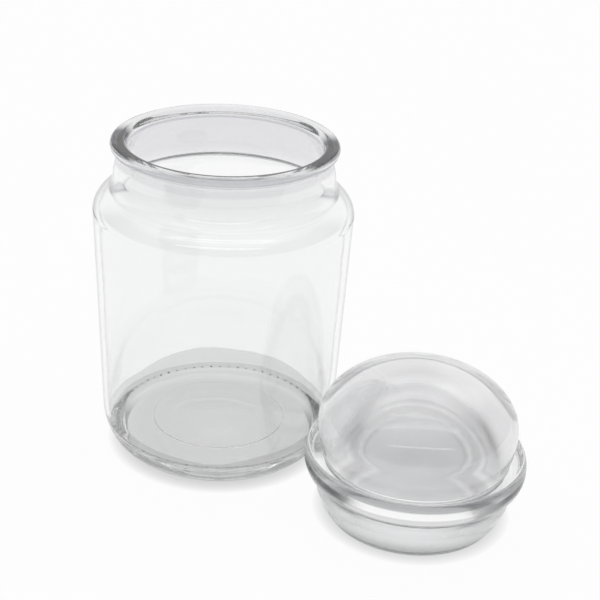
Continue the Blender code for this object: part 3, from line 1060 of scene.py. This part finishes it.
def new_camera(s):
    """Return the camera, turned and placed."""
    lens = bpy.data.cameras.new("camera")
    lens.lens = s.lens
    lens.sensor_width = SENSOR_WIDTH
    lens.clip_end = CLIP_END
    camera = bpy.data.objects.new("camera", lens)
    turn = Matrix.Rotation(s.camera_turn[2], 4, "Z") @ Matrix.Rotation(s.camera_turn[0], 4, "X")
    turn = turn @ Matrix.Rotation(s.camera_roll, 4, "Z")
    camera.matrix_world = Matrix.Translation(s.camera_place) @ turn
    return camera


def stand_in_for(piece, node, body):
    """Let a finished piece stand for a CAD node and ride on a body."""
    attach(piece, body)
    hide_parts(node)


class GLASSJAR_OT_jar_glass(bpy.types.Operator):
    """Turn the jar's glass, with its heel, shoulder, neck and beaded rim"""

    bl_idname = "glass_jar.jar_glass"
    bl_label = "Jar glass"

    def execute(self, context):
        s = settings().jar
        inside = jar_inside(s)
        outside = jar_outside(s)
        top = s.height - s.mouth_round
        waves = [min(1.0, max(0.0, (top - height) / s.shoulder_drop)) for _, height in inside]
        room = s.floor_radius - s.disc_radius
        drifts = [
            max(0.0, 1 - abs(radius - s.disc_radius) / room) if height < s.heel_height else 0.0
            for radius, height in inside
        ]
        still = [0.0] * len(outside)
        density = settings().finish.density
        material = clear_glass("jar_clear_glass", jar_tint, density, JAR_FACE)
        piece = turned(
            "jar_glass_body", inside + outside, JAR_AXIS, s.steps, material,
            waves=waves + still, wave_height=s.wave_height, wave_width=s.wave_width,
            seed=JAR_WAVE_SEED, drifts=drifts + still, drift=s.disc_drift,
        )
        stand_in_for(piece, "jar_body", "jar")
        return {"FINISHED"}


class GLASSJAR_OT_stipple(bpy.types.Operator):
    """Set the ring of small dots round the jar's inner floor"""

    bl_idname = "glass_jar.stipple"
    bl_label = "Stipple dots"

    def execute(self, context):
        s = settings().stipple
        density = settings().finish.density
        material = clear_glass("jar_dot_glass", dot_shade_tint, density, JAR_FACE)
        values = {
            "Count": s.count,
            "Ring Radius": s.radius,
            "Dot Radius": s.dot,
            "Seed": DOT_SEED,
            "Place": (JAR_AXIS.x, JAR_AXIS.y, settings().jar.floor_height),
        }
        source = bpy.data.meshes.new("jar_base_dots_source")
        piece = run_tree("jar_base_dots", source, dots_tree(), values, material)
        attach(piece, "jar")
        return {"FINISHED"}


class GLASSJAR_OT_lid_glass(bpy.types.Operator):
    """Turn the lid's hollow glass, with its plug, flange and bubble dome"""

    bl_idname = "glass_jar.lid_glass"
    bl_label = "Lid glass"

    def execute(self, context):
        s = settings().lid
        outside, inside = lid_profile(s)
        still = [0.0] * len(outside)
        density = settings().finish.lid_density
        material = clear_glass("lid_clear_glass", lid_tint, density, LID_FACE, lid_dullness)
        piece = turned(
            "lid_glass_bubble", outside + inside, LID_AXIS, s.steps, material,
            waves=still + [min(1.0, height / LID_WAVE_RISE) for _, height in inside],
            wave_height=s.wave_height, wave_width=s.wave_width, seed=LID_WAVE_SEED,
        )
        stand_in_for(piece, "lid_glass", "lid")
        return {"FINISHED"}


class GLASSJAR_OT_lid_seal(bpy.types.Operator):
    """Turn the soft ring round the lid's plug"""

    bl_idname = "glass_jar.lid_seal"
    bl_label = "Lid seal"

    def execute(self, context):
        s = settings().seal
        density = settings().finish.density
        material = clear_glass("seal_soft_plastic", seal_tint, density, SEAL_FACE)
        profile = seal_profile(s, settings().lid)
        piece = turned("lid_seal_ring", profile, LID_AXIS, s.steps, material, closed=True)
        stand_in_for(piece, "lid_seal", "lid")
        return {"FINISHED"}


class GLASSJAR_OT_stage(bpy.types.Operator):
    """Lay the pale table, light it softly and set up the camera"""

    bl_idname = "glass_jar.stage"
    bl_label = "Table, light and camera"

    def execute(self, context):
        s = settings().stage
        scene = context.scene
        half = s.floor_size / 2
        corners = [(-half, -half, 0), (half, -half, 0), (half, half, 0), (-half, half, 0)]
        mesh = bpy.data.meshes.new("table")
        mesh.from_pydata(corners, [], [(0, 1, 2, 3)])
        mesh.materials.append(table_white(s))
        table = bpy.data.objects.new("table", mesh)
        scene.collection.objects.link(table)
        scene.world = room_light(s)
        camera = new_camera(s)
        scene.collection.objects.link(camera)
        scene.camera = camera
        scene.view_settings.view_transform = "Standard"
        scene.cycles.max_bounces = BOUNCES
        scene.cycles.glossy_bounces = BOUNCES
        scene.cycles.transmission_bounces = BOUNCES
        return {"FINISHED"}


class GlassJarSettings(bpy.types.PropertyGroup):
    """All settings of the jar, its lid and the stage."""

    jar: group("Jar", JarSizes, "The jar")
    lid: group("Lid", LidSizes, "The lid's glass")
    seal: group("Seal", SealSizes, "The soft seal")
    stipple: group("Dots", StippleSizes, "The dots")
    finish: group("Finish", GlassFinish, "Colours")
    stage: group("Stage", StageSettings, "The stage")


MAKERS = (
    GLASSJAR_OT_jar_glass,
    GLASSJAR_OT_stipple,
    GLASSJAR_OT_lid_glass,
    GLASSJAR_OT_lid_seal,
    GLASSJAR_OT_stage,
)


class GLASSJAR_PT_panel(bpy.types.Panel):
    """The jar's builders and their settings"""

    bl_label = "Glass jar"
    bl_idname = "GLASSJAR_PT_panel"
    bl_space_type = "VIEW_3D"
    bl_region_type = "UI"
    bl_category = "Glass jar"

    def draw(self, context):
        for maker in MAKERS:
            self.layout.operator(maker.bl_idname)
        for part in GlassJarSettings.__annotations__:
            box = self.layout.box()
            chosen = getattr(context.scene.glass_jar, part)
            for name in chosen.__annotations__:
                box.prop(chosen, name)


CLASSES = (
    JarSizes, LidSizes, SealSizes, StippleSizes, GlassFinish, StageSettings,
    GlassJarSettings, *MAKERS, GLASSJAR_PT_panel,
)


def register():
    """Register the settings, the operators and the panel."""
    for found in CLASSES:
        bpy.utils.register_class(found)
    bpy.types.Scene.glass_jar = group("Glass jar", GlassJarSettings, "The jar's settings")


def unregister():
    """Take the settings, the operators and the panel out again."""
    del bpy.types.Scene.glass_jar
    for found in reversed(CLASSES):
        bpy.utils.unregister_class(found)


def main():
    """Build every piece and the stage."""
    register()
    bpy.ops.glass_jar.jar_glass()
    bpy.ops.glass_jar.stipple()
    bpy.ops.glass_jar.lid_glass()
    bpy.ops.glass_jar.lid_seal()
    bpy.ops.glass_jar.stage()


if __name__ == "__main__":
    main()
